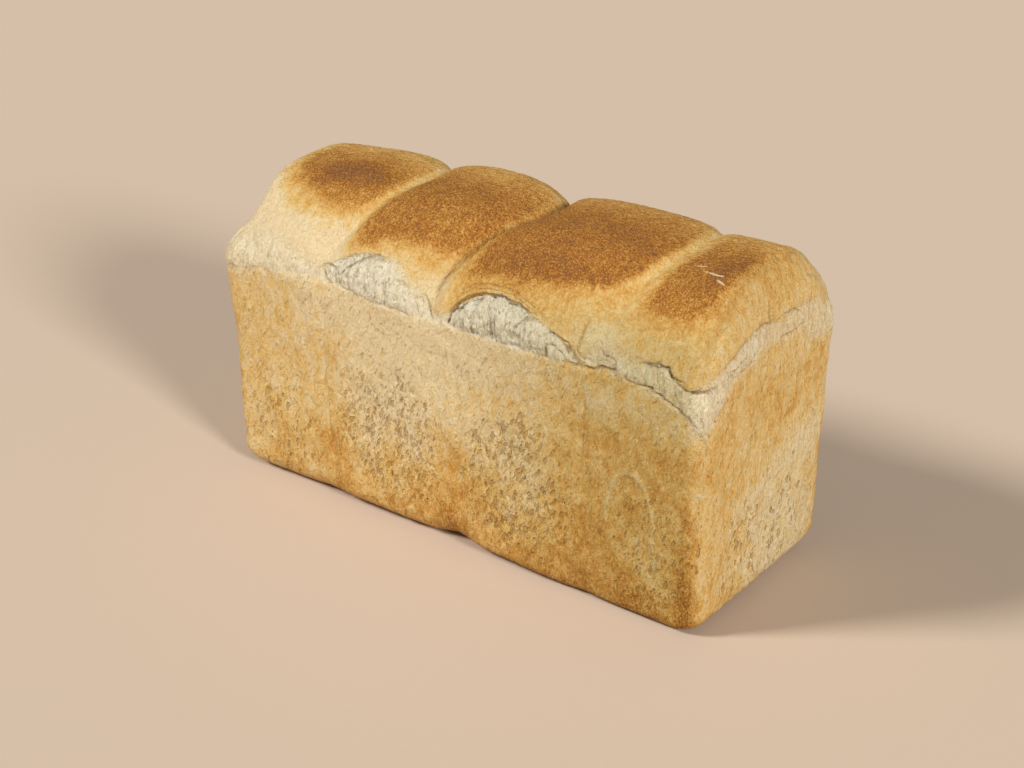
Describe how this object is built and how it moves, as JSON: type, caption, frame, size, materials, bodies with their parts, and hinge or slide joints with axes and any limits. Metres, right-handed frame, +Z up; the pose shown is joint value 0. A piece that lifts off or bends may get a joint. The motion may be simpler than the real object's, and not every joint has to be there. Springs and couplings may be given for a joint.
{
  "type": "wholemeal loaf",
  "caption": "Uncut wholemeal tin loaf: straight tin-baked walls, a torn pale band above the rim and a crown of domed lobes.",
  "frame": {"origin": "middle of the flat base, on the surface the loaf rests on", "axes": "+X along the loaf's length towards the lobe with the pale scratches, +Y across its width away from the pictured long side, +Z up"},
  "size_m": [0.2604, 0.1039, 0.1527],
  "materials": {
    "crust": "matte baked crust: golden brown walls, pale torn band and dark brown, bran-speckled caps"
  },
  "bodies": {
    "root": {"loaf": "crust"}
  },
  "joints": []
}
